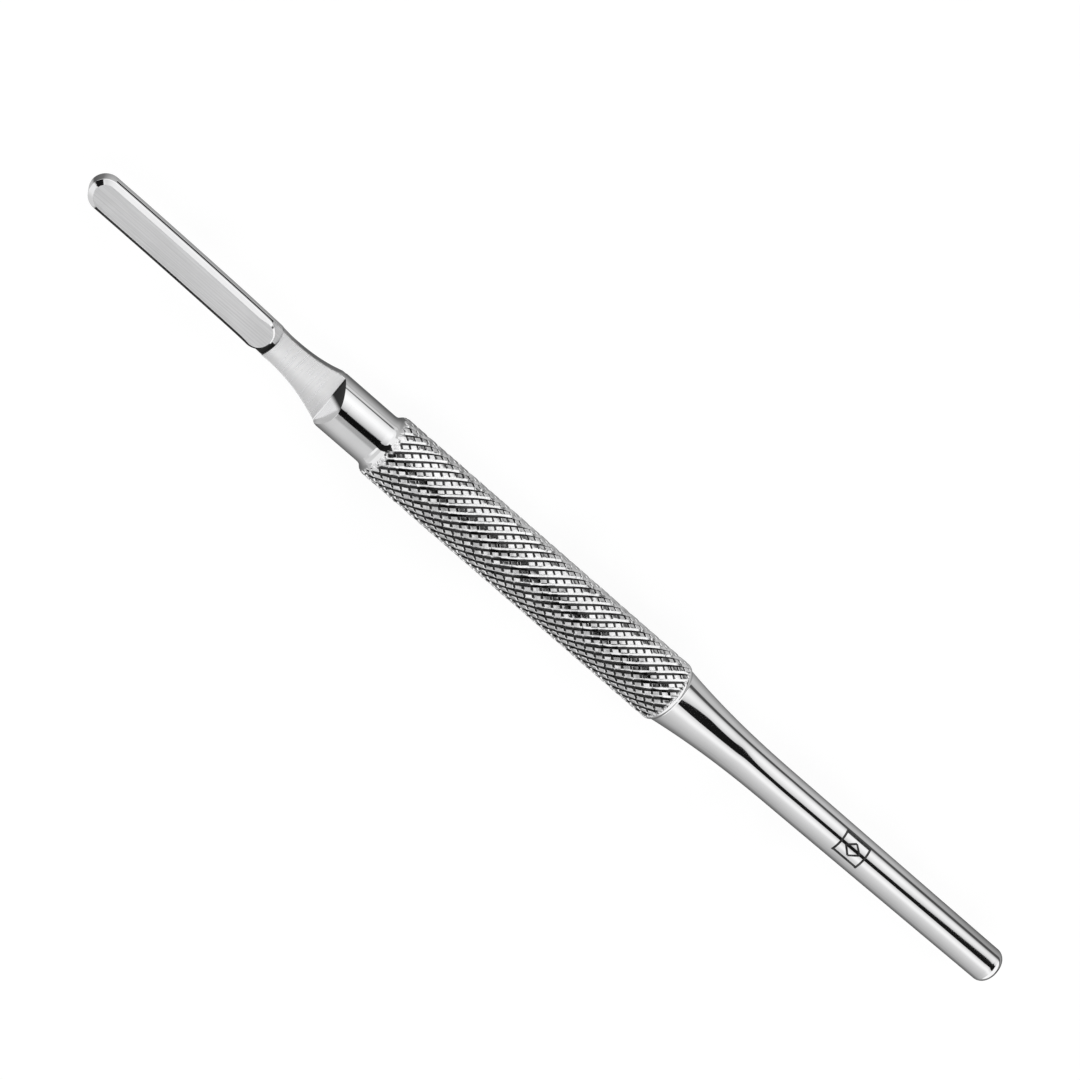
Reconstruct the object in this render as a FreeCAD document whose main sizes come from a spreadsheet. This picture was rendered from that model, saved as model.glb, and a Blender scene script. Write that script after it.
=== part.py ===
# Scalpel handle: one piece of stainless steel, turned, knurled and milled, 140 mm long.
# It lies along X with the blade fitting at -X and the fitting's raised lug up.
# Millimetres. The origin is under the middle of the handle, on the surface it lies on.
import FreeCAD, Part
import math
import os
import Sketcher

Vector = FreeCAD.Vector

# Driving dimensions. Places along the handle are from the tip of the blade fitting,
# radii and heights are from the handle's axis.
DIMENSIONS = {
    "total_length": 140.0,
    "grip_radius": 3.9,
    "grip_start": 43.1,
    "knurl_starts": 20,
    "knurl_pitch": 1.552,
    "knurl_rows": 28,
    "knurl_depth": 0.28,
    "rim_radius": 3.85,
    "collar_radius": 3.2,
    "flare_start": 41.9,
    "flare_length": 0.9,
    "flare_fillet": 0.7,
    "rim_fillet": 0.3,
    "head_lean": 0.95,
    "head_offset": 0.35,
    "fitting_width": 3.7,
    "fitting_underside": 0.3,
    "land_height": 0.72,
    "slot_start": 1.9,
    "slot_height": 0.45,
    "stem_width": 2.5,
    "lug_top": 1.95,
    "lug_end": 25.5,
    "lug_clearance": 0.04,
    "lug_bevel": 0.4,
    "shoulder_side": 25.3,
    "shoulder_lean": 0.45,
    "shoulder_radius": 4.2,
    "neck_top": 0.95,
    "neck_width": 3.5,
    "neck_start": 27.3,
    "neck_end": 36.15,
    "neck_end_half_width": 3.4,
    "neck_radius": 21.0,
    "flats_end": 34.5,
    "runout_length": 1.5,
    "underside_runout": 2.0,
    "tail_rim": 0.25,
    "tail_chamfer": 0.27,
    "sweep_length": 17.0,
    "sweep_radius": 140.0,
    "sweep_end_radius": 2.45,
    "tail_end_radius": 2.21,
    "tail_rounding": 1.2,
}
# Spare length by which each cutting outline passes the stock
SPARE = 1.0
# How near two places are when they count as the same
CLOSE = 0.001


class Size:
    """A length with its value and its formula in the sheet's terms."""

    def __init__(self, value, formula):
        self.value = value
        self.formula = formula

    def combine(self, sign, other, value):
        right = other.formula if isinstance(other, Size) else repr(other)
        return Size(value, "(" + self.formula + " " + sign + " " + right + ")")

    def __add__(self, other):
        return self.combine("+", other, self.value + plain(other))

    def __sub__(self, other):
        return self.combine("-", other, self.value - plain(other))

    def __mul__(self, other):
        return self.combine("*", other, self.value * plain(other))

    def __neg__(self):
        return Size(-self.value, "(0 - " + self.formula + ")")


def plain(length):
    return length.value if isinstance(length, Size) else length


doc = FreeCAD.newDocument("scalpel_handle")
sheet = doc.addObject("Spreadsheet::Sheet", "sizes")
for row, (name, number) in enumerate(DIMENSIONS.items(), start=1):
    sheet.set("A" + str(row), name)
    sheet.set("B" + str(row), str(number))
    sheet.setAlias("B" + str(row), name)
doc.recompute()


def size(name):
    return Size(float(sheet.get(name)), "sizes." + name)


# Places along X, from the middle of the handle
tip = size("total_length") * -0.5
tail_end = size("total_length") * 0.5
grip_start = tip + size("grip_start")
grip_end = grip_start + size("knurl_pitch") * size("knurl_rows")
# Half widths, and the height that clears the stock
half_fitting = size("fitting_width") * 0.5
half_stem = size("stem_width") * 0.5
half_neck = size("neck_width") * 0.5
outside = size("grip_radius") + SPARE
nothing = Size(0.0, "0")


def new_body(name):
    """An empty body whose X axis is the handle's axis."""
    body = doc.addObject("PartDesign::Body", name)
    body.setExpression("Placement.Base.z", "sizes.grip_radius")
    return body


def new_sketch(body, name, plane):
    """A sketch on one of the body's own planes."""
    sketch = body.newObject("Sketcher::SketchObject", name)
    planes = [part for part in body.Origin.OriginFeatures if part.Role == plane]
    sketch.AttachmentSupport = [(planes[0], "")]
    sketch.MapMode = "FlatFace"
    return sketch


def new_plan(body, name, height=None):
    """A sketch seen from above, raised to height. The head sits a little off the axis and
    leans from it, so its sketches turn about the collar's front end."""
    sketch = new_sketch(body, name, "XY_Plane")
    collar_front = (tip + size("flats_end")).formula
    lean = "(sizes.head_lean * 1 deg)"
    sketch.setExpression("AttachmentOffset.Rotation.Angle", "-1 * " + lean)
    sketch.setExpression("AttachmentOffset.Base.x", collar_front + " * (1 - cos(" + lean + "))")
    sketch.setExpression("AttachmentOffset.Base.y",
                         "sizes.head_offset + " + collar_front + " * sin(" + lean + ")")
    if height is not None:
        sketch.setExpression("AttachmentOffset.Base.z", height.formula)
    return sketch


def bind(sketch, constraint, length):
    """Adds a constraint whose value follows the sheet."""
    number = sketch.addConstraint(constraint)
    sketch.setExpression("Constraints[" + str(number) + "]", length.formula)


def arc_between(start, end, radius, turns_left):
    """The short arc from start to end, and whether it is stored end first."""
    chord = end - start
    middle = (start + end) * 0.5
    height = math.sqrt(radius ** 2 - (chord.Length / 2) ** 2)
    across = Vector(-chord.y, chord.x, 0).normalize()
    centre = middle + across * (height if turns_left else -height)
    first, last = (start, end) if turns_left else (end, start)
    angles = [math.atan2(p.y - centre.y, p.x - centre.x) for p in (first, last)]
    if angles[1] < angles[0]:
        angles[1] += 2 * math.pi
    circle = Part.Circle(centre, Vector(0, 0, 1), radius)
    return Part.ArcOfCircle(circle, angles[0], angles[1])


def trace(sketch, corners, arcs=None):
    """Draws a closed outline through corners. Each side is straight, or an arc where
    arcs gives its radius and whether it turns left."""
    arcs = arcs or {}
    count = len(corners)
    points = [Vector(x.value, y.value, 0) for x, y in corners]
    ends = []
    for side in range(count):
        start, end = points[side], points[(side + 1) % count]
        if side in arcs:
            radius, turns_left = arcs[side]
            curve = sketch.addGeometry(arc_between(start, end, radius.value, turns_left))
            bind(sketch, Sketcher.Constraint("Radius", curve, radius.value), radius)
            ends.append((curve, 1, 2) if turns_left else (curve, 2, 1))
        else:
            ends.append((sketch.addGeometry(Part.LineSegment(start, end)), 1, 2))
    for side in range(count):
        curve, first, last = ends[side]
        after, after_first, after_last = ends[(side + 1) % count]
        sketch.addConstraint(Sketcher.Constraint("Coincident", curve, last, after, after_first))
        x, y = corners[side]
        bind(sketch, Sketcher.Constraint("DistanceX", -1, 1, curve, first, x.value), x)
        bind(sketch, Sketcher.Constraint("DistanceY", -1, 1, curve, first, y.value), y)


def revolve(body, sketch):
    feature = body.newObject("PartDesign::Revolution", sketch.Name + "_turned")
    feature.Profile = sketch
    feature.ReferenceAxis = (sketch, ["H_Axis"])
    feature.Angle = 360
    doc.recompute()
    return feature


def pocket(body, sketch, depth=None):
    """Cuts the sketched area: upwards by depth, or right through when it has none."""
    before = body.Shape.Volume
    feature = body.newObject("PartDesign::Pocket", sketch.Name + "_cut")
    feature.Profile = sketch
    if depth is None:
        feature.Type = "ThroughAll"
        feature.SideType = "Symmetric"
    else:
        feature.Reversed = True
        feature.setExpression("Length", depth.formula)
    doc.recompute()
    if body.Shape.Volume > before - CLOSE:
        raise RuntimeError(sketch.Name + " cuts nothing")
    return feature


def dress(body, kind, name, edges, length):
    """A fillet or chamfer on the body's numbered edges."""
    base = body.Tip
    feature = body.newObject("PartDesign::" + kind, name)
    feature.Base = (base, edges)
    feature.setExpression("Radius" if kind == "Fillet" else "Size", length.formula)
    doc.recompute()
    return feature


def edges_where(body, test):
    """Names of the body's edges whose every point passes the test."""
    names = []
    for number, edge in enumerate(body.Tip.Shape.Edges, start=1):
        if all(test(point) for point in edge.discretize(5)):
            names.append("Edge" + str(number))
    return names


def circle_edges(body, x, radius):
    """Names of the turned edges at place x with this radius."""
    def on_circle(point):
        at_place = abs(point.x - x.value) < CLOSE
        return at_place and abs(math.hypot(point.y, point.z) - radius.value) < CLOSE
    return edges_where(body, on_circle)


def make_head():
    """Blade fitting, neck, collar and the flare up to the grip."""
    body = new_body("head")
    collar, rim = size("collar_radius"), size("rim_radius")
    flare_start = tip + size("flare_start")
    flare_end = flare_start + size("flare_length")

    stock, neck_start = size("grip_radius"), tip + size("neck_start")
    blank = new_sketch(body, "blank", "XZ_Plane")
    trace(blank, [(tip, nothing), (tip, stock), (neck_start, stock), (neck_start, collar),
                  (flare_start, collar), (flare_end, rim), (grip_start, rim),
                  (grip_start, nothing)])
    revolve(body, blank)
    dress(body, "Fillet", "flare_hollow", circle_edges(body, flare_start, collar),
          size("flare_fillet"))
    dress(body, "Fillet", "flare_crest", circle_edges(body, flare_end, rim),
          size("rim_fillet"))

    shape_sides(body)
    shape_flats(body)
    shape_lug(body)
    return body


def shape_sides(body):
    """Round nose, parallel fitting and a neck that widens to the collar, seen from above."""
    nose = tip + half_fitting
    lug_end, neck = tip + size("lug_end"), tip + size("neck_start")
    neck_end, wide = tip + size("neck_end"), size("neck_end_half_width")
    sides = new_plan(body, "sides")
    trace(sides,
          [(neck_end, wide), (neck_end, outside), (tip - SPARE, outside),
           (tip - SPARE, -outside), (neck_end, -outside), (neck_end, -wide),
           (neck, -half_neck), (lug_end, -half_fitting), (nose, -half_fitting),
           (tip, nothing), (nose, half_fitting), (lug_end, half_fitting), (neck, half_neck)],
          {5: (size("neck_radius"), True), 8: (half_fitting, False),
           9: (half_fitting, False), 12: (size("neck_radius"), True)})
    pocket(body, sides)


def shape_flats(body):
    """Top and underside, each sloping up to the collar's surface, seen from the side."""
    flats_end, step = tip + size("flats_end"), tip + size("lug_end") + size("lug_clearance")
    lug_top, neck_top = size("lug_top"), size("neck_top")
    collar, runout_end = size("collar_radius"), flats_end + size("runout_length")
    top = new_sketch(body, "top", "XZ_Plane")
    trace(top,
          [(tip - SPARE, lug_top), (step, lug_top), (step, neck_top), (flats_end, neck_top),
           (runout_end, collar), (runout_end, outside), (tip - SPARE, outside)])
    pocket(body, top)

    below, runout_end = -size("fitting_underside"), flats_end + size("underside_runout")
    underside = new_sketch(body, "underside", "XZ_Plane")
    trace(underside,
          [(tip - SPARE, below), (flats_end, below), (runout_end, -collar),
           (runout_end, -outside), (tip - SPARE, -outside)])
    pocket(body, underside)


def shape_lug(body):
    """The raised lug: the gap behind its round end, the slots under it and its bevel."""
    land = size("land_height")
    bend = tip + size("lug_end") - half_fitting
    past = half_fitting + SPARE
    shoulder, lean = tip + size("shoulder_side"), size("shoulder_lean")
    gap = new_plan(body, "gap", land)
    trace(gap,
          [(bend, half_fitting), (bend + half_fitting, nothing), (bend, -half_fitting),
           (bend, -past), (shoulder - lean, -past), (shoulder + lean, past), (bend, past)],
          {0: (half_fitting, False), 1: (half_fitting, False),
           4: (size("shoulder_radius"), True)})
    pocket(body, gap, outside)

    slot_start = tip + size("slot_start")
    slots = new_plan(body, "slots", land)
    trace(slots,
          [(slot_start, half_stem), (bend, half_stem), (bend + half_stem, nothing),
           (bend, -half_stem), (slot_start, -half_stem), (slot_start, -past),
           (bend + half_fitting, -past), (bend + half_fitting, past), (slot_start, past)],
          {1: (half_stem, False), 2: (half_stem, False)})
    pocket(body, slots, size("slot_height"))

    lug_top = size("lug_top").value
    rim = edges_where(body, lambda point: abs(point.z - lug_top) < CLOSE)
    dress(body, "Chamfer", "lug_bevel", rim, size("lug_bevel"))


def make_tail():
    """The tapering tail behind the grip, with its rounded end."""
    body = new_body("tail")
    rim, chamfer = size("rim_radius"), size("tail_chamfer")
    rim_end = grip_end + size("tail_rim")
    sweep_start = rim_end + chamfer
    end_radius = size("tail_end_radius")
    taper = new_sketch(body, "taper", "XZ_Plane")
    trace(taper,
          [(grip_end, nothing), (grip_end, rim), (rim_end, rim), (sweep_start, rim - chamfer),
           (sweep_start + size("sweep_length"), size("sweep_end_radius")),
           (tail_end, end_radius), (tail_end, nothing)],
          {3: (size("sweep_radius"), True)})
    revolve(body, taper)
    dress(body, "Fillet", "rounded_end", circle_edges(body, tail_end, end_radius),
          size("tail_rounding"))
    return body


class Sleeve:
    """Flat faces that share their edges, so that together they close."""

    def __init__(self):
        self.corners = {}
        self.edges = {}
        self.faces = []

    def corner(self, point):
        key = tuple(round(place, 4) for place in point)
        if key not in self.corners:
            self.corners[key] = Part.Vertex(point)
        return key

    def edge(self, start, end):
        pair = tuple(sorted((self.corner(start), self.corner(end))))
        if pair not in self.edges:
            self.edges[pair] = Part.Edge(self.corners[pair[0]], self.corners[pair[1]])
        return self.edges[pair]

    def add(self, points, outward):
        loop = zip(points, points[1:] + points[:1])
        face = Part.Face(Part.Wire([self.edge(start, end) for start, end in loop]))
        if face.normalAt(0, 0).dot(outward) < 0:
            face.reverse()
        self.faces.append(face)


def make_knurl():
    """Rows of flat-topped diamonds between two families of crossing grooves. All tops lie
    on a regular polygon, so that the handle lies on a row of them and doesn't roll. The
    first and last rows fall to the grooves' depth and end in a flat face."""
    starts, half_rows = int(size("knurl_starts").value), 2 * int(size("knurl_rows").value)
    half_pitch = size("knurl_pitch").value / 2
    top_radius = size("grip_radius").value
    low_radius = top_radius - size("knurl_depth").value
    share = 2 * math.pi / starts

    # Crossing of two grooves beside a diamond: how far sideways, and how high
    low_side = low_radius * math.sin(share / 2)
    low_height = low_radius * math.cos(share / 2)
    # Half width of a top, and the half length at which the four flanks come out flat
    half_width = top_radius * math.tan(share / 4)
    rise_along, rise_across = top_radius - low_radius, top_radius - low_height
    spread = low_side * rise_along - half_width * (rise_along - rise_across)
    half_length = half_width * half_pitch * rise_across / spread

    sleeve = Sleeve()
    for row in range(half_rows + 1):
        at_end = row in (0, half_rows)
        place = grip_start.value + row * half_pitch
        for column in range(starts):
            turn = FreeCAD.Rotation(Vector(1, 0, 0), math.degrees(share * (column + row % 2 / 2)))

            def spot(along, sideways, height):
                return turn.multVec(Vector(0, sideways, height)) + Vector(place + along, 0, 0)

            outward = turn.multVec(Vector(0, 0, 1))
            for side in (-1, 1):
                beside = spot(0, side * low_side, low_height)
                for way in (-1, 1):
                    ahead = spot(way * half_pitch, 0, low_radius)
                    if at_end and (way == 1) == (row == 0):
                        sleeve.add([spot(0, 0, low_radius), ahead, beside], outward)
                    elif not at_end:
                        crest_ahead = spot(way * half_length, 0, top_radius)
                        crest_beside = spot(0, side * half_width, top_radius)
                        sleeve.add([crest_ahead, ahead, beside, crest_beside], outward)
            if not at_end:
                sleeve.add([spot(half_length, 0, top_radius), spot(0, half_width, top_radius),
                            spot(-half_length, 0, top_radius), spot(0, -half_width, top_radius)],
                           outward)
        if at_end:
            ring = [Vector(place, low_radius * math.sin(share * step / 2),
                           low_radius * math.cos(share * step / 2)) for step in range(2 * starts)]
            sleeve.add(ring, Vector(1 if row else -1, 0, 0))

    knurl = doc.addObject("Part::Feature", "knurl")
    knurl.Shape = Part.Solid(Part.makeShell(sleeve.faces))
    knurl.Placement = FreeCAD.Placement(Vector(0, 0, top_radius), FreeCAD.Rotation())
    return knurl


def make_handle():
    """The whole handle as one solid."""
    handle = doc.addObject("Part::MultiFuse", "handle")
    handle.Label = "scalpel_handle"
    handle.Refine = False
    handle.Shapes = [make_head(), make_knurl(), make_tail()]
    doc.recompute()
    return handle


def check(handle):
    """Stops before anything is written if a feature failed or the solid isn't sound."""
    for part in doc.Objects:
        if "Invalid" in part.State or "Error" in part.State:
            raise RuntimeError(part.Name + " failed")
    shape = handle.Shape
    if shape.isNull() or not shape.isValid() or len(shape.Solids) != 1:
        raise RuntimeError("the handle isn't one sound solid")


handle = make_handle()
check(handle)
os.makedirs("parts", exist_ok=True)
handle.Shape.exportStep(os.path.join("parts", handle.Label + ".step"))
box = handle.Shape.optimalBoundingBox(False)
print("size", round(box.XLength, 3), round(box.YLength, 3), round(box.ZLength, 3))
print("lowest point", round(box.ZMin, 4), "volume", round(handle.Shape.Volume, 1))
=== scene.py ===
# A round steel scalpel handle, lying on a pale floor with its blade fitting up.
# Lengths are in millimetres from the tip, heights from the handle's axis, until a mesh is made.
import bpy
import bmesh
import math
import numpy as np
from mathutils import Matrix, Vector


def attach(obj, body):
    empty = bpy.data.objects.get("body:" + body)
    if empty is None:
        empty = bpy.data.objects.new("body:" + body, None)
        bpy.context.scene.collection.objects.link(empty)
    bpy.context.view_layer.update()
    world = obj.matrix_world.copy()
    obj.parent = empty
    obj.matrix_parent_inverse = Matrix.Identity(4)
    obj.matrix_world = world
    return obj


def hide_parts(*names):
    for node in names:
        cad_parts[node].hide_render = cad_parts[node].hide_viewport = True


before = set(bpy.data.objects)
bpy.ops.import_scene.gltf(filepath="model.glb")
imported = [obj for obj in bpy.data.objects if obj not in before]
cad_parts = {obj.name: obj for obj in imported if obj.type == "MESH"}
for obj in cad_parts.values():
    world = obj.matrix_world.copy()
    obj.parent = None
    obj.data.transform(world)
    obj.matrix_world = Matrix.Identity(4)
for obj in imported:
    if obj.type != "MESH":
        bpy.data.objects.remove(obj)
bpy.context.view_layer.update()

LENGTH = 140.0
AXIS_HEIGHT = 3.9

# Blade fitting and neck: half widths, heights from the axis, and places along the handle
FITTING = 1.85
LAND, SLOT_TOP, LUG_TOP, UNDERSIDE = 0.72, 1.31, 1.90, -0.30
SLOT_DEPTH, SLOT_START = 0.6, 1.9
NOSE_GAP = 0.012
LUG_END, BEND = 25.5, 23.65
SHOULDER, SHOULDER_RADIUS, SHOULDER_SLANT = 26.14, 4.2, 0.158
NECK_TOP, NECK = 0.95, 1.75
NECK_START, NECK_RADIUS = 27.3, 21.0
FLAT_END, RUNOUT_SLOPE, RUNOUT_FILLET = 34.55, 2.0, 0.20
FLAT_END_SLANT, RUNOUT_HOLLOW = 0.105, 0.10
UNDER_SLOPE = 1.45
# How far the head sits to the side of the axis: place and shift
HEAD_SHIFT = [(0, 1.08), (6, 1.07), (14, 0.99), (22, 0.85), (27, 0.68), (33, 0.42), (36, 0.38)]
COLLAR, COLLAR_FROM = 3.2, 31.0
# Flare from the collar to the grip: place and radius
FLARE = [(41.3, 3.2), (41.6, 3.204), (41.85, 3.225), (42.1, 3.29), (42.27, 3.39), (42.42, 3.53),
         (42.57, 3.67), (42.72, 3.78), (42.87, 3.85), (43.02, 3.885), (43.22, 3.9)]
HEAD_END = 42.5
# Knurled grip: the two depths are of the long grooves and of the cross cuts
GRIP, STARTS, PITCH = 3.9, 20, 1.552
KNURL_START, KNURL_END = 42.45, 86.33
FIRST_GROOVE, LAST_GROOVE = 43.1, 86.25
DEEP, SHALLOW = 0.22, 0.18
# Radii between which painted shade on the knurl's steel goes from dark to bright, in the grooves
# and on flanks
GROOVE_SHADE, FLANK_SHADE = (3.765, 3.84), (3.685, 3.725)
# Tail, with how far its end bends to +Y
TAIL_START, TAIL_BEND = 86.28, 0.4
END_ROUNDING, END_RADIUS = 1.2, 2.21
# Mark: ends along the handle, half its spread and its turn in degrees, width of a stroke
MARK_LEFT, MARK_RIGHT, MARK_HALF, MARK_TURN, STROKE = 113.3, 117.4, 38.0, 16.0, 0.40
MARK_LIFT, MARK_SINK = 0.007, 0.01


def smooth(t):
    t = min(1.0, max(0.0, t))
    return t * t * (3 - 2 * t)


def ease(t):
    t = np.clip(t, 0, 1)
    return t * t * (3 - 2 * t)


def fitting_centre(x):
    places, shifts = zip(*HEAD_SHIFT)
    return sum(float(np.interp(x + step, places, shifts)) for step in (-2, -1, 0, 1, 2)) / 5


def half_width(x):
    if x <= LUG_END:
        return FITTING
    if x <= NECK_START:
        return FITTING + (NECK - FITTING) * (x - LUG_END) / (NECK_START - LUG_END)
    along = min(x - NECK_START, NECK_RADIUS * 0.9)
    return NECK + NECK_RADIUS - math.sqrt(NECK_RADIUS ** 2 - along ** 2)


def flare_radius(x):
    """Cubic through the flare's places, flat at both ends."""
    places = np.array([p for p, r in FLARE])
    radii = np.array([r for p, r in FLARE])
    slopes = np.gradient(radii, places)
    slopes[0] = slopes[-1] = 0
    x = np.clip(np.asarray(x, float), places[0], places[-1])
    i = np.clip(np.searchsorted(places, x) - 1, 0, len(places) - 2)
    width = places[i + 1] - places[i]
    t = (x - places[i]) / width
    return ((2 * t**3 - 3 * t**2 + 1) * radii[i] + (t**3 - 2 * t**2 + t) * width * slopes[i]
            + (3 * t**2 - 2 * t**3) * radii[i + 1] + (t**3 - t**2) * width * slopes[i + 1])


# ---- meshes
def place(points):
    """Millimetres from the tip and the axis to metres in the frame."""
    points = np.asarray(points, float)
    return (points + (-LENGTH / 2, 0, AXIS_HEIGHT)) / 1000


def make_object(name, points, faces, kinds, materials, sharp_angle=None):
    """A mesh object. Corners at one place are joined, and pairs of faces on the same
    corners cancel out."""
    keys, index, corners = {}, [], []
    for point in np.round(np.asarray(points, float), 5):
        key = tuple(point)
        if key not in keys:
            keys[key] = len(corners)
            corners.append(key)
        index.append(keys[key])
    kept = {}
    for face, kind in zip(faces, kinds):
        loop = []
        for corner in face:
            number = index[corner]
            if not loop or loop[-1] != number:
                loop.append(number)
        if len(loop) > 1 and loop[0] == loop[-1]:
            loop.pop()
        if len(set(loop)) < 3:
            continue
        key = frozenset(loop)
        if key in kept:
            del kept[key]
        else:
            kept[key] = (loop, kind)
    mesh = bpy.data.meshes.new(name)
    mesh.from_pydata([tuple(p) for p in place(corners)], [], [loop for loop, kind in kept.values()])
    for material in materials:
        mesh.materials.append(material)
    mesh.polygons.foreach_set("material_index", [kind for loop, kind in kept.values()])
    mesh.polygons.foreach_set("use_smooth", [True] * len(mesh.polygons))
    if sharp_angle:
        shaped = bmesh.new()
        shaped.from_mesh(mesh)
        bmesh.ops.recalc_face_normals(shaped, faces=shaped.faces)
        for edge in shaped.edges:
            edge.smooth = len(edge.link_faces) == 2 and edge.calc_face_angle(0) < sharp_angle
        shaped.to_mesh(mesh)
        shaped.free()
    mesh.update()
    piece = bpy.data.objects.new(name, mesh)
    bpy.context.scene.collection.objects.link(piece)
    return piece


# ---- head
def bevel_size(x, sign):
    """Width and rise of the lug's bevel: broad at the nose and at +Y, narrow elsewhere."""
    to_end = smooth((x - 22.3) / 3.2)
    if sign > 0:
        width, rise = 0.60 - 0.04 * smooth(x / 1.5), 0.30
    else:
        narrow = smooth((x - 0.4) / 2.0)
        width, rise = 0.60 - 0.25 * narrow, 0.30 + 0.02 * narrow
    return width + (0.16 - width) * to_end, rise + (0.10 - rise) * to_end


def bevel(width, rise):
    """Insets and heights from the slot's lip over the wall and the bevel to the lug's top."""
    low = LUG_TOP - rise
    lip = [(0.03, SLOT_TOP), (0.0, SLOT_TOP + 0.03), (0.0, (SLOT_TOP + low) / 2),
           (0.0, low - 0.04), (0.01, low - 0.01), (0.03, low + 0.015)]
    return lip + [(0.03 + (width - 0.03) * k / 7, low + 0.015 + (rise - 0.015) * k / 7)
                  for k in range(1, 8)]


BOTTOM, WALL, LANDS, TOPS = 6, 36, 16, 12
BEVELS = len(bevel(1, 1))
UPPER = LANDS + 2 + BEVELS + TOPS


def wall_points(low, high, side, radius, rounding):
    """Side of the section from its lower to its upper corner, by rays from the axis: on the
    wall at side, or on the circle where that is nearer."""
    points = []
    first, last = (math.atan2(z, y) for y, z in (low, high))
    for step in range(WALL):
        t = step / (WALL - 1)
        if rounding > 0.001:
            span = high[1] - low[1]
            edge = rounding / span
            t = (0, 0.25 * edge, edge)[step] if step < 3 else t
            t = 1 - (0, 0.25 * edge, edge)[WALL - 1 - step] if step > WALL - 4 else t
            z = low[1] + span * t
            y = side if abs(z) >= radius else min(side, math.sqrt(radius ** 2 - z ** 2))
            gap = min(t, 1 - t) * span
            if gap < rounding:
                y -= rounding - math.sqrt(rounding ** 2 - (rounding - gap) ** 2)
        else:
            angle = first + (last - first) * t
            if radius * math.cos(angle) < side:
                y, z = radius * math.cos(angle), radius * math.sin(angle)
            else:
                y, z = side, side * math.tan(angle)
        points.append((y, z))
    return points


def fitting_half(x, sign):
    """One half of the fitting's section at x, from under the middle to the top middle."""
    nose, end = x < FITTING, x > BEND
    plate = math.sqrt(max(0, FITTING ** 2 - (FITTING - x) ** 2)) if nose else FITTING
    slot = SLOT_DEPTH * smooth((x - SLOT_START + 0.1) / 0.35)

    def inset(depth):
        if nose:
            left = (FITTING - depth) ** 2 - (FITTING - x) ** 2
            return math.sqrt(max(0, left)) if x > depth else 0
        if end:
            left = (FITTING - depth) ** 2 - (x - BEND) ** 2
            return math.sqrt(max(0, left)) if LUG_END - x > depth else 0
        return FITTING - depth

    rounding = min(0.06, plate * 0.5)
    if plate > 0.01:
        wall = wall_points((plate, UNDERSIDE), (plate, LAND), plate, 99, rounding)
    else:
        wall = [(0, UNDERSIDE + (LAND - UNDERSIDE) * k / (WALL - 1)) for k in range(WALL)]
    points = [(wall[0][0] * k / BOTTOM, UNDERSIDE) for k in range(BOTTOM)] + wall
    inner, outer = (inset(slot) if slot > 0 else plate), wall[-1][0]
    if not end and slot == 0:
        inner = outer = plate
        points[-1] = (plate, LAND)
        points[-2] = (plate, LAND - 0.01)
        points[-3] = (plate, LAND - 0.02)
    inner = min(inner, outer)
    points += [(outer + (inner - outer) * (k + 1) / LANDS, LAND) for k in range(LANDS)]
    points += [(inner, LAND + 0.02), (inner, SLOT_TOP)]
    nearest = x if nose else LUG_END - x
    profile = bevel(*bevel_size(x, sign))
    depths, heights = zip(*profile[1:])
    for depth, height in profile:
        if slot == 0 and height == SLOT_TOP:
            depth = 0
        if depth > nearest and height > SLOT_TOP:
            height = float(np.interp(nearest, depths, heights))
        points.append((inset(depth) if depth <= nearest else 0, height))
    rim, rim_height = points[-1]
    points += [(rim * (1 - (k + 1) / TOPS), rim_height) for k in range(TOPS)]
    return points


def runout(along, y):
    """Height of the top where the neck's flat turns up into the collar."""
    if along <= 0:
        return NECK_TOP
    bend = math.atan(RUNOUT_SLOPE)
    reach = RUNOUT_FILLET * math.sin(bend)
    if along < reach:
        rise = RUNOUT_FILLET - math.sqrt(RUNOUT_FILLET ** 2 - along ** 2)
    else:
        rise = RUNOUT_FILLET * (1 - math.cos(bend)) + (along - reach) * RUNOUT_SLOPE
    return NECK_TOP + rise + RUNOUT_HOLLOW * along * y * y


def under(along):
    return UNDERSIDE - max(0.0, along) * UNDER_SLOPE


def edge_of(height, side, radius):
    """Where a surface of that height over y meets the wall at side, or else the circle."""
    limit = min(side, radius * 0.99999)
    if abs(height(limit)) <= math.sqrt(max(0, radius ** 2 - limit ** 2)) and side < radius:
        return limit, height(limit)
    low, high = 0.0, limit
    if abs(height(0)) >= radius:
        return 0.0, math.copysign(radius, height(0))
    for _ in range(40):
        middle = (low + high) / 2
        if abs(height(middle)) < math.sqrt(radius ** 2 - middle ** 2):
            low = middle
        else:
            high = middle
    return low, height(low)


def neck_half(x, sign, top, spread):
    """One half of the section of neck, run-out or collar at station x."""
    shift = FLAT_END_SLANT * slant(x)
    where = x - shift * sign * 2.5
    radius = COLLAR if x > COLLAR_FROM else 9.0
    side = sign * fitting_centre(where) + half_width(where)
    along = x - FLAT_END
    if side < radius:
        rounding = 0.05 * smooth((FLAT_END - 0.1 - x) / 0.5)
    else:
        rounding = 0
    high = edge_of(lambda y: top if x <= FLAT_END else runout(along, y), side, radius)
    low = edge_of(lambda y: under(along), side, radius)
    wall = wall_points(low, high, side, radius, rounding)
    middle = sign * fitting_centre(x) * smooth((FLAT_END + 1.2 - x) / 1.5)
    points = [(middle + (wall[0][0] - middle) * k / BOTTOM, low[1]) for k in range(BOTTOM)] + wall
    outer = wall[-1][0]
    for k in range(UPPER):
        early = min(1.0, (k + 1) / LANDS)
        even = (k + 1) / UPPER
        share = early + (even - early) * spread
        y = outer + (middle - outer) * share
        if x <= FLAT_END:
            z = top
        else:
            z = min(runout(along, y), math.sqrt(max(0, radius ** 2 - y * y)))
        points.append((y, z))
    return [(sign * y, z) for y, z in points]


def slant(x):
    """How much the stations follow the slanted line where the flat ends."""
    return smooth((x - 31.5) / 2.6) * smooth((38.0 - x) / 2.0)


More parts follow.
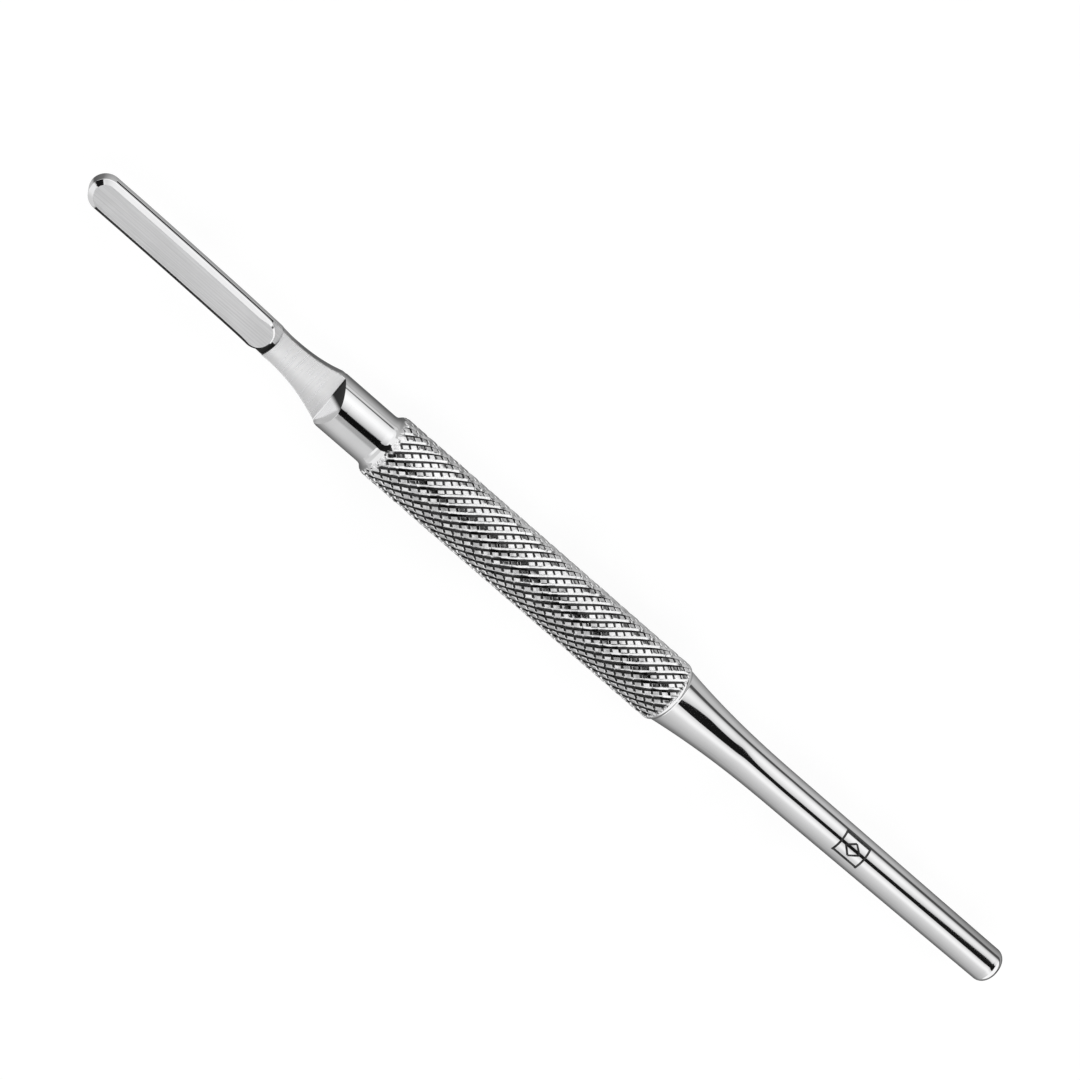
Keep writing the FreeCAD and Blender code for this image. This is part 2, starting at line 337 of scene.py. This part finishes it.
def turned_half(radius, sign):
    points = [(0.0, -radius)] * BOTTOM
    for step in range(WALL):
        angle = math.pi * (step / (WALL - 1) - 0.5)
        points.append((sign * radius * math.cos(angle), radius * math.sin(angle)))
    return points + [(0.0, radius)] * UPPER


def station_shift(x, y):
    """Stations bend along the curved shoulder and along the slanted end of the flat."""
    curve = (math.sqrt(SHOULDER_RADIUS ** 2 - min(abs(y), COLLAR) ** 2) - SHOULDER_RADIUS
             + SHOULDER_SLANT * y)
    return (curve * smooth((x - LUG_END) / 0.85) * smooth((COLLAR_FROM - x) / 4.5)
            - FLAT_END_SLANT * slant(x) * y)


# Places of the materials on the head
# The nearly black steel paints shade into the slot and a dark reflection along the lug's -Y side.
POLISHED, LONG, CROSS, PAINTED_DARK, PAINTED_REFLECTION = range(5)


def make_head(materials):
    nose = [FITTING * (1 - math.cos(math.pi / 2 * k / 32)) for k in range(32)]
    body = [FITTING, 1.9, 1.95, 2.0, 2.05, 2.1] + list(np.linspace(2.2, BEND, 40))
    end = [BEND + FITTING * math.sin(math.pi / 2 * k / 32) for k in range(1, 33)]
    stem = BEND + FITTING - SLOT_DEPTH
    end = sorted(end + [stem - 0.02, stem])
    rings, tags = [], []

    def add(x, right, left, tag):
        rings.append([(x + station_shift(x, y), y, z) for y, z in right + left[::-1]])
        tags.append(tag)

    for x in nose + body + end:
        right, left = fitting_half(x, 1), fitting_half(x, -1)
        centre = fitting_centre(x)
        at = x if x > FITTING else NOSE_GAP + x * (1 - NOSE_GAP / FITTING)
        rings.append([(at, centre + y, z) for y, z in right]
                     + [(at, centre - y, z) for y, z in left[::-1]])
        tags.append("slot" if x >= SLOT_START else "lug")
    stations = [(LUG_END + 0.001, LAND)] + [(x, LAND) for x in np.linspace(25.55, 26.08, 7)]
    stations += [(SHOULDER - 0.03, LAND + 0.01), (SHOULDER - 0.005, LAND + 0.05),
                 (SHOULDER + 0.005, NECK_TOP - 0.05), (SHOULDER + 0.03, NECK_TOP - 0.008),
                 (SHOULDER + 0.07, NECK_TOP)]
    stations += [(x, NECK_TOP) for x in np.linspace(26.4, 33.8, 30)]
    stations += [(x, NECK_TOP) for x in np.linspace(33.95, FLAT_END, 9)]
    stations += [(FLAT_END + x, NECK_TOP) for x in np.linspace(0.02, 0.26, 13)]
    stations += [(FLAT_END + x, NECK_TOP) for x in np.linspace(0.28, 2.08, 70)]
    for x, top in stations:
        spread = smooth((x - LUG_END) / 1.8)
        right, left = (neck_half(x, sign, top, spread) for sign in (1, -1))
        tag = "land" if x < SHOULDER - 0.04 else "neck" if x < FLAT_END else "runout"
        add(x, right, left, tag)
    turned = list(np.linspace(36.8, 41.3, 14)) + list(np.linspace(41.35, HEAD_END, 30))
    for x in turned:
        radius = COLLAR if x < 41.3 else float(flare_radius(x))
        add(x, turned_half(radius, 1), turned_half(radius, -1), "collar")

    count = len(rings[0])
    points = [point for ring in rings for point in ring]
    faces, kinds = [], []
    upper_start = BOTTOM + WALL
    flat_start = upper_start + LANDS + 2 + BEVELS - 1
    round_end = len(nose) + len(body) + 6
    for row in range(len(rings) - 1):
        for column in range(count):
            after = (column + 1) % count
            a, b = row * count, (row + 1) * count
            kind, tag = POLISHED, tags[row]
            from_low = min(column, count - 2 - column)
            if tag in ("lug", "slot") and from_low >= flat_start:
                kind = LONG
            # Painted shade: the slot and the land beside the lug are nearly black, except on +Y
            # round the lug's end
            if tag == "slot" and upper_start - 1 <= from_low <= upper_start + LANDS + 2:
                kind = LONG if row >= round_end and column < count / 2 else PAINTED_DARK
            # Painted dark reflection on the -Y side's land, slot, and the lug's wall and bevel
            if tag == "slot" and column > count / 2 and upper_start <= from_low < flat_start:
                kind = PAINTED_DARK
            # Painted shade on the -Y half of the land behind the lug
            if tag == "land" and from_low >= upper_start - 1:
                kind = LONG if column < count / 2 else PAINTED_DARK
            if tag == "neck" and from_low >= upper_start - 1:
                kind = CROSS
            # Run-out facet: steel with a painted dark reflection that darkens its +Y half
            if tag == "runout" and from_low >= upper_start - 1:
                kind = PAINTED_REFLECTION
            faces.append((a + column, a + after, b + after, b + column))
            kinds.append(kind)
    return make_object("head", points, faces, kinds, materials, math.radians(24))


# ---- grip
def make_knurl(material):
    """Grip with two crossing families of grooves, one deeper, on a lattice that follows them."""
    levels = np.array([0.0, 0.09, 0.14, 0.18, 0.5, 0.82, 0.86, 0.91])
    groove = np.array([1.0, 1.0, 0.35, 0.02, 0.0, 0.02, 0.35, 1.0])
    deep_levels = np.array([0.0, 0.05, 0.09, 0.31, 0.39, 0.46, 0.79, 0.86])
    deep_groove = np.array([1.0, 1.0, 0.72, 0.04, 0.0, 0.0, 0.02, 0.95])
    per, turns = len(levels), STARTS
    chance = np.random.default_rng(7)
    across = per * turns
    first = -2 * per
    span = per * (int((KNURL_END - KNURL_START) / PITCH * 2) + 6)
    second_index = np.arange(across)[:, None] + np.zeros((1, span), int)
    first_index = second_index + first + np.arange(span)[None, :]

    a = first_index // per + levels[first_index % per]
    b = second_index // per + deep_levels[second_index % per]
    cut_a, cut_b = groove[first_index % per], deep_groove[second_index % per]
    cut_a = cut_a * ease((b % 1 - 0.35) / 0.08)
    x = FIRST_GROOVE + (a - b) / 2 * PITCH
    angle = (a + b) / 2 * (2 * math.pi / STARTS)

    # Each diamond stands a little higher or lower, and each groove wanders in depth
    cells = chance.normal(0, 1, (3, turns, span // per + 6))
    cell_a = np.clip(first_index // per - second_index // per - first // per, 0,
                     cells.shape[2] - 1)
    lift, tip_a, tip_b = cells[:, (second_index // per) % turns, cell_a]
    height = (0.004 * np.abs(lift) + 0.05 * tip_a * (a % 1 - 0.5) + 0.07 * tip_b * (b % 1 - 0.57)
              + 0.05 * ((a % 1 - 0.5) ** 2 + (b % 1 - 0.57) ** 2))
    wander = 1 + 0.06 * np.sin(x * 1.7 + angle * 3) + 0.05 * np.sin(x * 4.1 - angle * 5)
    fade = ease((LAST_GROOVE - x) / 0.2)
    depth = np.maximum(DEEP * cut_b * wander, SHALLOW * cut_a * wander)
    tops = (cut_a < 0.1) & (cut_b < 0.1)
    radius = GRIP - depth * fade - np.where(tops, np.clip(0.012 + height, 0.002, 0.05), 0.01)
    envelope = np.where(x < 43.3, flare_radius(x), GRIP)
    envelope = np.where(x > LAST_GROOVE - 0.3, np.minimum(GRIP, rim_radius(x)), envelope)
    radius = np.minimum(radius, envelope)
    points = np.stack([x, radius * np.sin(angle), radius * np.cos(angle)], -1)
    points = place(points.reshape(-1, 3))

    rows, columns = np.meshgrid(np.arange(across), np.arange(1, span - 1), indexing="ij")
    after = (rows + 1) % across
    loops = np.stack([rows * span + columns, rows * span + columns + 1,
                      after * span + columns, after * span + columns - 1], -1).reshape(-1, 4)
    mesh = bpy.data.meshes.new("knurl")
    mesh.from_pydata(points.tolist(), [], loops.tolist())
    mesh.materials.append(material)
    shaped = bmesh.new()
    shaped.from_mesh(mesh)
    for where, way in ((KNURL_START, -1), (KNURL_END, 1)):
        bmesh.ops.bisect_plane(shaped, geom=shaped.verts[:] + shaped.edges[:] + shaped.faces[:],
                               plane_co=place((where, 0, 0)), plane_no=(way, 0, 0),
                               clear_outer=True)
    bmesh.ops.recalc_face_normals(shaped, faces=shaped.faces)
    for face in shaped.faces:
        face.smooth = True
    for edge in shaped.edges:
        edge.smooth = len(edge.link_faces) == 2 and edge.calc_face_angle(0) < math.radians(22)
    shaped.to_mesh(mesh)
    shaped.free()
    piece = bpy.data.objects.new("knurl", mesh)
    bpy.context.scene.collection.objects.link(piece)
    return piece


# ---- tail
def rim_radius(x):
    """Rounded rim behind the knurl."""
    x = np.asarray(x, float)
    return 3.88 - 0.30 * np.clip((x - 86.18) / 0.65, 0, 1) ** 2.2


def tail_radius(x):
    sweep = 1.055 * (1 - (x - 86.75) / 17.6) ** 2.3 if x < 104.35 else 0.0
    return END_RADIUS + 0.0060 * max(0.0, 138.0 - x) + sweep


def tail_centre(x):
    """The tail bends a little to +Y."""
    return TAIL_BEND * max(0.0, (x - 87.0) / (LENGTH - 87.0)) ** 1.2


def make_tail(material):
    outline = [(TAIL_START - 0.02, 3.3)]
    outline += [(x, float(rim_radius(x))) for x in np.linspace(TAIL_START, 86.81, 14)]
    outline += [(x, tail_radius(x)) for x in np.linspace(86.85, 88.15, 12)]
    outline += [(x, tail_radius(x)) for x in np.linspace(88.45, LENGTH - END_ROUNDING, 130)]
    for step in range(1, 15):
        angle = math.pi / 2 * step / 14
        outline.append((LENGTH - END_ROUNDING * (1 - math.sin(angle)),
                        END_RADIUS - END_ROUNDING * (1 - math.cos(angle))))
    flat = END_RADIUS - END_ROUNDING
    outline += [(LENGTH, flat * share) for share in (0.7, 0.35, 0.0)]
    sides = 144
    points, faces = [], []
    for x, radius in outline:
        for side in range(sides):
            angle = 2 * math.pi * side / sides
            points.append((x, tail_centre(x) + radius * math.sin(angle), radius * math.cos(angle)))
    for row in range(len(outline) - 1):
        for side in range(sides):
            after = (side + 1) % sides
            faces.append((row * sides + side, row * sides + after,
                          (row + 1) * sides + after, (row + 1) * sides + side))
    return make_object("tail", points, faces, [0] * len(faces), [material], math.radians(40))


def make_mark(material):
    """Engraved frame with a plain diamond in it, as dark strokes on the tail's surface."""
    points, faces = [], []

    def stroke(start, end, width=STROKE):
        """A strip between two places given as (x, degrees round the tail)."""
        steps = 14
        radius = tail_radius(115)
        (x0, a0), (x1, a1) = start, end
        along = Vector((x1 - x0, math.radians(a1 - a0) * radius))
        side = Vector((-along.y, along.x)).normalized() * width / 2
        base = len(points)
        for step in range(steps + 1):
            t = step / steps
            for way in (-1, -0.6, 0.6, 1):
                x = x0 + (x1 - x0) * t + side.x * way
                turn = math.radians(a0 + (a1 - a0) * t + MARK_TURN) + side.y * way / radius
                lift = MARK_LIFT if abs(way) < 1 else -MARK_SINK
                r = tail_radius(x) + lift
                points.append((x, tail_centre(x) + r * math.sin(turn), r * math.cos(turn)))
        for step in range(steps):
            for lane in range(3):
                a = base + step * 4 + lane
                faces.append((a, a + 1, a + 5, a + 4))

    half_stroke = math.degrees(STROKE / 2 / tail_radius(115))
    top, low = MARK_HALF - half_stroke, -MARK_HALF + half_stroke
    left, right = MARK_LEFT + STROKE / 2, MARK_RIGHT - STROKE / 2
    for x in (left, right):
        stroke((x, low - half_stroke), (x, top + half_stroke))
    for angle in (low, top):
        stroke((left, angle), (right, angle))
    middle = (left + right) / 2
    corners = [(left + 0.75, 0), (middle, 21), (right - 0.75, 0), (middle, -21)]
    for start, end in zip(corners, corners[1:] + corners[:1]):
        stroke(start, end, STROKE * 0.85)
    return make_object("mark", points, faces, [0] * len(faces), [material])


# ---- materials
class Nodes:
    """Short hand for building a node tree."""

    def __init__(self, tree):
        self.tree = tree
        tree.nodes.clear()

    def add(self, kind, inputs=None, **settings):
        node = self.tree.nodes.new(kind)
        for name, value in settings.items():
            setattr(node, name, value)
        for name, value in (inputs or {}).items():
            socket = node.inputs[name]
            if isinstance(value, bpy.types.NodeSocket):
                self.tree.links.new(value, socket)
            else:
                socket.default_value = value
        return node

    def math(self, operation, *values):
        return self.add("ShaderNodeMath", dict(enumerate(values)), operation=operation).outputs[0]

    def ramp(self, value, low, high, out_low=0.0, out_high=1.0, smooth_step=True):
        node = self.add("ShaderNodeMapRange",
                        {"Value": value, "From Min": low, "From Max": high,
                         "To Min": out_low, "To Max": out_high},
                        interpolation_type="SMOOTHSTEP" if smooth_step else "LINEAR")
        return node.outputs["Result"]

    def curve(self, value, low, high, stops):
        """Straight lines between stops, pairs of the value and what becomes of it."""
        least, most = min(y for x, y in stops), max(y for x, y in stops)
        share = self.ramp(value, low, high, 0.0, 1.0, smooth_step=False)
        node = self.add("ShaderNodeValToRGB", {"Fac": share})
        handles = node.color_ramp.elements
        while len(handles) < len(stops):
            handles.new(0.5)
        for handle, (x, y) in zip(handles, stops):
            handle.position = (x - low) / (high - low)
        for handle, (x, y) in zip(handles, stops):
            grey = (y - least) / (most - least)
            handle.color = (grey, grey, grey, 1)
        return self.ramp(node.outputs[0], 0.0, 1.0, least, most, smooth_step=False)

    def mix(self, share, first, second):
        change = self.math("SUBTRACT", second, first)
        return self.math("ADD", first, self.math("MULTIPLY", share, change))

    def noise(self, place, scale, stretch=(1, 1, 1), detail=3.0, roughness=0.55):
        mapping = self.add("ShaderNodeMapping", {"Vector": place, "Scale": stretch})
        node = self.add("ShaderNodeTexNoise",
                        {"Vector": mapping.outputs[0], "Scale": scale, "Detail": detail,
                         "Roughness": roughness})
        return node.outputs[0]


def new_material(name):
    material = bpy.data.materials.new(name)
    material.use_nodes = True
    return material, Nodes(material.node_tree)


def steel(name, tint, roughness, grain=None, streaks=0.0, grain_depth=0.0, variation=0.02,
          groove=None, spread=0.0, turn=0.0, shade=None):
    """Stainless steel. Fine scratches follow grain, a stretch of the noise along its lines,
    and spread widens the gloss across them. Groove paints shade into the knurl's grooves
    between two radii, over a wider band where the surface does not face +X, and shade
    paints a dark reflection that darkens towards +Y between two places."""
    material, nodes = new_material(name)
    coordinates = nodes.add("ShaderNodeTexCoord").outputs
    place = coordinates["Object"]
    cloud = nodes.noise(place, 220, detail=3)
    fine = nodes.noise(place, 1.0, grain or (900, 9000, 9000), detail=4, roughness=0.6)
    value = nodes.ramp(cloud, 0.3, 0.7, tint - variation, tint + variation)
    if grain:
        streak = nodes.ramp(fine, 0.3, 0.7, -streaks, streaks)
        value = nodes.math("ADD", value, streak)
    # Painted shade in the knurl's grooves: darker the deeper the steel lies, over a wider band
    # where the surface does not face +X, only between the knurl's ends
    if groove:
        parts = nodes.add("ShaderNodeSeparateXYZ", {"Vector": place})
        height = nodes.math("SUBTRACT", parts.outputs["Z"], AXIS_HEIGHT / 1000)
        radius = nodes.math("SQRT", nodes.math("ADD", nodes.math("POWER", parts.outputs["Y"], 2.0),
                                               nodes.math("POWER", height, 2.0)))
        facing = nodes.add("ShaderNodeSeparateXYZ", {"Vector": coordinates["Normal"]}).outputs["X"]
        groove_painted_shade, bright = (nodes.ramp(radius, low / 1000, high / 1000, darkest, 1.0)
                        for (low, high), darkest in ((groove, 0.06), (FLANK_SHADE, 0.05)))
        knurl_painted_shade = nodes.mix(nodes.ramp(facing, 0.06, 0.22), groove_painted_shade, bright)
        started = nodes.ramp(parts.outputs["X"], -0.02705, -0.02680)
        ended = nodes.ramp(parts.outputs["X"], 0.01595, 0.01620)
        cut = nodes.math("SUBTRACT", started, ended)
        value = nodes.math("MULTIPLY", value, nodes.mix(cut, 1.0, knurl_painted_shade))
    # Painted dark reflection: the steel goes nearly black towards +Y between the two places
    if shade:
        y = nodes.add("ShaderNodeSeparateXYZ", {"Vector": place}).outputs["Y"]
        start, end = shade
        value = nodes.math("MULTIPLY", value, nodes.ramp(y, start / 1000, end / 1000, 1, 0.03))
    colour = nodes.add("ShaderNodeCombineColor",
                       {"Red": value, "Green": value, "Blue": nodes.math("MULTIPLY", value, 1.006)})
    rough = nodes.ramp(fine, 0.25, 0.75, roughness * 0.8, roughness * 1.25)
    shader = nodes.add("ShaderNodeBsdfPrincipled",
                       {"Base Color": colour.outputs[0], "Metallic": 1.0, "Roughness": rough,
                        "Anisotropic": spread, "Anisotropic Rotation": turn})
    if spread:
        round_z = nodes.add("ShaderNodeTangent", direction_type="RADIAL", axis="Z")
        nodes.tree.links.new(round_z.outputs[0], shader.inputs["Tangent"])
    if grain_depth:
        bump = nodes.add("ShaderNodeBump", {"Height": fine, "Strength": 0.35,
                                            "Distance": grain_depth / 1000})
        nodes.tree.links.new(bump.outputs[0], shader.inputs["Normal"])
    output = nodes.add("ShaderNodeOutputMaterial")
    nodes.tree.links.new(shader.outputs[0], output.inputs["Surface"])
    return material


polished = steel("polished_steel", 0.85, 0.045)
brushed_long = steel("brushed_steel_long", 0.88, 0.50, grain=(110, 9000, 9000), streaks=0.07,
                     grain_depth=0.0015, spread=0.2, turn=0.0)
brushed_cross = steel("brushed_steel_cross", 0.97, 0.30, grain=(2600, 160, 160), streaks=0.05,
                      grain_depth=0.0015, spread=0.8, turn=0.25)
# Knurled steel with painted shade in its grooves
knurled = steel("knurled_steel_painted_groove_shade", 0.86, 0.14, grain=(7000, 7000, 7000), streaks=0.12,
                grain_depth=0.004, variation=0.06, groove=GROOVE_SHADE)
# Nearly black steel: painted shade in the slot and a painted dark reflection along the lug's -Y
# side
dark = steel("painted_shade_and_reflection_steel", 0.03, 0.3)
# Run-out facet's steel with a painted dark reflection over its +Y half
runout_painted_reflection = steel("run_out_steel_painted_reflection", 0.85, 0.12, shade=(0.2, 0.9))
etched = steel("etched_mark", 0.07, 0.45, grain=(3000, 3000, 3000), streaks=0.03,
               grain_depth=0.002)


# ---- pieces
head = make_head([polished, brushed_long, brushed_cross, dark, runout_painted_reflection])
even_normals = head.modifiers.new("even_normals", "WEIGHTED_NORMAL")
even_normals.keep_sharp = True
knurl = make_knurl(knurled)
tail = make_tail(polished)
mark = make_mark(etched)
for piece in (head, knurl, tail, mark):
    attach(piece, "root")
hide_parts("scalpel_handle")


# ---- surroundings
def make_floor():
    """Pale floor that looks white to the camera and keeps a faint shadow."""
    mesh = bpy.data.meshes.new("floor")
    rim = [(3.0 * math.cos(a), 3.0 * math.sin(a), 0.0)
           for a in np.linspace(0, 2 * math.pi, 65)[:-1]]
    mesh.from_pydata(rim, [], [tuple(range(64))])
    floor = bpy.data.objects.new("floor", mesh)
    bpy.context.scene.collection.objects.link(floor)
    material, nodes = new_material("pale_floor")
    place = nodes.add("ShaderNodeTexCoord").outputs["Object"]
    parts = nodes.add("ShaderNodeSeparateXYZ", {"Vector": place})
    # In reflections the floor shows painted shade that darkens towards the handle, and a dark line
    # runs beside it
    x, y = parts.outputs["X"], parts.outputs["Y"]
    far_side = nodes.curve(y, 0, 0.03, [(0, 0.12), (0.0025, 0.15), (0.004, 0.25), (0.0053, 0.36),
                                        (0.007, 0.45), (0.009, 0.54), (0.012, 0.58),
                                        (0.018, 0.55), (0.026, 0.5)])
    far_side = nodes.math("MULTIPLY", far_side, nodes.ramp(x, 0.05, 0.072, 1.0, 0.62))
    line_start = nodes.ramp(x, -0.03, 0.075, 0.040, 0.019, smooth_step=False)
    line = nodes.ramp(nodes.math("DIVIDE", y, line_start), 0.92, 1.06)
    far_side = nodes.mix(line, far_side, 0.08)
    beside_collar = nodes.curve(y, 0, 0.03, [(0, 0.06), (0.0048, 0.15), (0.006, 0.23),
                                             (0.0073, 0.31), (0.0088, 0.38), (0.0108, 0.45),
                                             (0.0133, 0.53), (0.0175, 0.54), (0.0195, 0.40),
                                             (0.0215, 0.68), (0.028, 0.74)])
    far_side = nodes.mix(nodes.ramp(x, -0.022, -0.008), beside_collar, far_side)
    tail_side = nodes.curve(y, -0.1, 0, [(-0.1, 0.47), (-0.045, 0.44), (-0.025, 0.36),
                                         (-0.017, 0.30), (-0.011, 0.22), (-0.008, 0.17),
                                         (-0.005, 0.12), (-0.003, 0.10), (0, 0.06)])
    collar_side = nodes.curve(y, -0.1, 0, [(-0.1, 0.50), (-0.060, 0.48), (-0.032, 0.415),
                                           (-0.018, 0.33), (-0.011, 0.23), (-0.007, 0.15),
                                           (-0.003, 0.10), (0, 0.06)])
    near_side = nodes.mix(nodes.ramp(x, -0.026, -0.012), collar_side, tail_side)
    beside_fitting = nodes.ramp(x, -0.040, -0.044)
    beside_plate = nodes.curve(y, 0, 0.02, [(0, 0.10), (0.003, 0.18), (0.0048, 0.55), (0.02, 0.60)])
    far_side = nodes.mix(beside_fitting, far_side, beside_plate)
    near_side = nodes.mix(beside_fitting, near_side, 0.55)
    dim = nodes.mix(nodes.ramp(y, -0.0005, 0.0005), near_side, far_side)
    seen = nodes.add("ShaderNodeLightPath").outputs
    paper = nodes.noise(place, 60, detail=2)
    pale = nodes.ramp(paper, 0.3, 0.7, 0.985, 1.0)
    white, grey = (nodes.add("ShaderNodeCombineColor",
                             {"Red": level, "Green": level, "Blue": level}).outputs[0]
                   for level in (pale, dim))
    glow = nodes.add("ShaderNodeEmission", {"Color": white, "Strength": 1.09})
    matte = nodes.add("ShaderNodeBsdfDiffuse", {"Color": white})
    bright = nodes.add("ShaderNodeMixShader", {"Fac": 0.16, 1: glow.outputs[0],
                                               2: matte.outputs[0]})
    mirrored = nodes.add("ShaderNodeEmission", {"Color": grey, "Strength": 1.0})
    lit = nodes.add("ShaderNodeMixShader", {"Fac": seen["Is Glossy Ray"], 1: matte.outputs[0],
                                            2: mirrored.outputs[0]})
    mix = nodes.add("ShaderNodeMixShader", {"Fac": seen["Is Camera Ray"], 1: lit.outputs[0],
                                            2: bright.outputs[0]})
    output = nodes.add("ShaderNodeOutputMaterial")
    nodes.tree.links.new(mix.outputs[0], output.inputs["Surface"])
    mesh.materials.append(material)


def make_world():
    """A white tent round the handle's axis with a dark strip above and a dimmer near side."""
    world = bpy.data.worlds.new("tent")
    bpy.context.scene.world = world
    world.use_nodes = True
    nodes = Nodes(world.node_tree)
    way = nodes.add("ShaderNodeTexCoord").outputs["Generated"]
    parts = nodes.add("ShaderNodeSeparateXYZ", {"Vector": way}).outputs
    turn = nodes.math("ARCTAN2", parts["Y"], parts["Z"])
    degrees = nodes.math("MULTIPLY", turn, 180 / math.pi)
    # Edges of the dark strip, in degrees, by the direction's part along the handle
    x = parts["X"]
    low = nodes.curve(x, -1, 1, [(-1, -25), (-0.97, -20), (-0.93, -14), (-0.7, -8), (-0.29, -8),
                                 (0.2, -8), (0.262, -10), (0.273, -8.5), (0.30, -5), (0.36, 5),
                                 (0.43, 11.5), (0.465, 13.2), (0.478, 13.5), (0.487, 9),
                                 (0.52, 6), (0.566, 4.3), (0.6, 5), (0.66, 8)])
    high = nodes.curve(x, -1, 1, [(-1, 60), (-0.97, 56), (-0.93, 46), (-0.7, 26), (-0.5, 22),
                                  (-0.29, 18), (0.2, 15), (0.27, 15), (0.28, 20), (0.36, 25),
                                  (0.433, 30), (0.445, 32), (0.456, 34), (0.466, 40),
                                  (0.477, 48), (0.484, 48), (0.495, 42), (0.52, 42), (0.55, 46.5),
                                  (0.58, 41.5), (0.607, 33), (0.66, 8)])
    past_low = nodes.math("SUBTRACT", degrees, low)
    past_high = nodes.math("SUBTRACT", degrees, high)
    strip = nodes.math("SUBTRACT", nodes.ramp(past_low, -0.8, 0.8),
                       nodes.ramp(past_high, -0.8, 0.8))

    def by_part(*steps):
        """Blends values over the direction's part along the handle: value, start, end, value."""
        blend = steps[0]
        for start, end, following in zip(steps[1::3], steps[2::3], steps[3::3]):
            blend = nodes.mix(nodes.ramp(x, start, end), blend, following)
        return blend

    # Near side of the tent: greyer next to the strip where the collar reflects it
    collar_side = nodes.curve(past_low, -180, 180, [(-84, 0.50), (-78, 0.54), (-70, 0.61),
                                                    (-60, 0.67), (-48, 0.70), (-25, 0.69),
                                                    (-21, 0.60), (-17, 0.43), (-8, 0.41),
                                                    (0, 0.40)])
    fitting_side = nodes.curve(degrees, -180, 180, [(-60, 0.66), (-40, 1.03), (20, 1.05)])
    tail_side = nodes.curve(past_low, -180, 180, [(-150, 0.15), (-130, 0.20), (-117, 0.30),
                                                  (-106, 0.40), (-97, 0.48), (-88, 0.54),
                                                  (-75, 0.59), (-60, 0.67), (-50, 0.73),
                                                  (-42, 0.78), (-34, 0.90), (-28, 1.03),
                                                  (-22, 1.08), (-15, 1.03), (-10, 0.93),
                                                  (-5, 0.82), (0, 0.75)])
    near = by_part(0.95, -0.6, -0.35, 0.72, 0.12, 0.18, fitting_side, 0.258, 0.264, collar_side,
                   0.283, 0.295, 0.5,
                   0.395, 0.415, tail_side, 0.62, 0.66, 1.1)
    # Far side: whitest half way down, falling to a dark line near the horizon at the tail
    rise = nodes.curve(past_high, -180, 180, [(0, 0.63), (5, 0.73), (12, 0.87), (20, 0.98),
                                              (28, 1.07), (40, 1.15)])
    collar_rise = nodes.curve(past_high, -180, 180, [(0, 0.52), (5, 0.60), (12, 0.76), (20, 0.90),
                                                     (28, 1.03), (40, 1.17)])
    tail_fall = nodes.curve(degrees, 0, 180, [(60, 1.0), (66, 0.95), (72, 0.87), (78, 0.76),
                                              (83, 0.62), (87, 0.40), (90, 0.12)])
    collar_fall = nodes.curve(degrees, 0, 180, [(54, 1.0), (67, 0.97), (80, 0.84), (90, 0.71)])
    far = by_part(1.0, -0.6, -0.3, nodes.math("MULTIPLY", collar_rise, collar_fall),
                  0.283, 0.295, 1.12,
                  0.395, 0.415, nodes.math("MULTIPLY", rise, tail_fall), 0.62, 0.66, 1.1)
    tent = nodes.mix(nodes.ramp(past_high, -1, 1), near, far)
    value = nodes.math("MULTIPLY", tent, nodes.math("SUBTRACT", 1.0,
                                                    nodes.math("MULTIPLY", strip, 0.988)))
    colour = nodes.add("ShaderNodeCombineColor", {"Red": value, "Green": value, "Blue": value})
    seen = nodes.add("ShaderNodeLightPath").outputs
    light = nodes.add("ShaderNodeBackground", {"Color": colour.outputs[0], "Strength": 1.0})
    white = nodes.add("ShaderNodeBackground", {"Color": (1, 1, 1, 1), "Strength": 1.0})
    mix = nodes.add("ShaderNodeMixShader", {"Fac": seen["Is Camera Ray"], 1: light.outputs[0],
                                            2: white.outputs[0]})
    output = nodes.add("ShaderNodeOutputWorld")
    nodes.tree.links.new(mix.outputs[0], output.inputs["Surface"])


def make_camera():
    tilt, turn = math.radians(19.0), math.radians(15.0)
    across, down = 0.75315, 0.65782        # the handle's direction in the picture
    distance, aside, lengthways = 0.414, 0.003384, 0.000351
    forward = Vector((math.sin(tilt), -math.cos(tilt) * math.sin(turn),
                      -math.cos(tilt) * math.cos(turn)))
    side = Vector((0, math.cos(turn), -math.sin(turn)))
    along = side.cross(forward).normalized()
    if along.x < 0:
        along = -along
    right = along * across + side * down
    up = side * across - along * down
    target = Vector((-0.007, 0, 0.0039))
    camera = bpy.data.objects.new("camera", bpy.data.cameras.new("camera"))
    middle = target - forward * distance + side * aside + along * lengthways
    camera.matrix_world = Matrix.Translation(middle) @ Matrix(
        (right, up, -forward)).transposed().to_4x4()
    camera.data.lens = 125.8
    camera.data.sensor_width = 36
    camera.data.clip_start, camera.data.clip_end = 0.01, 20
    bpy.context.scene.collection.objects.link(camera)
    bpy.context.scene.camera = camera


make_floor()
make_world()
make_camera()
bpy.context.scene.view_settings.view_transform = "Standard"
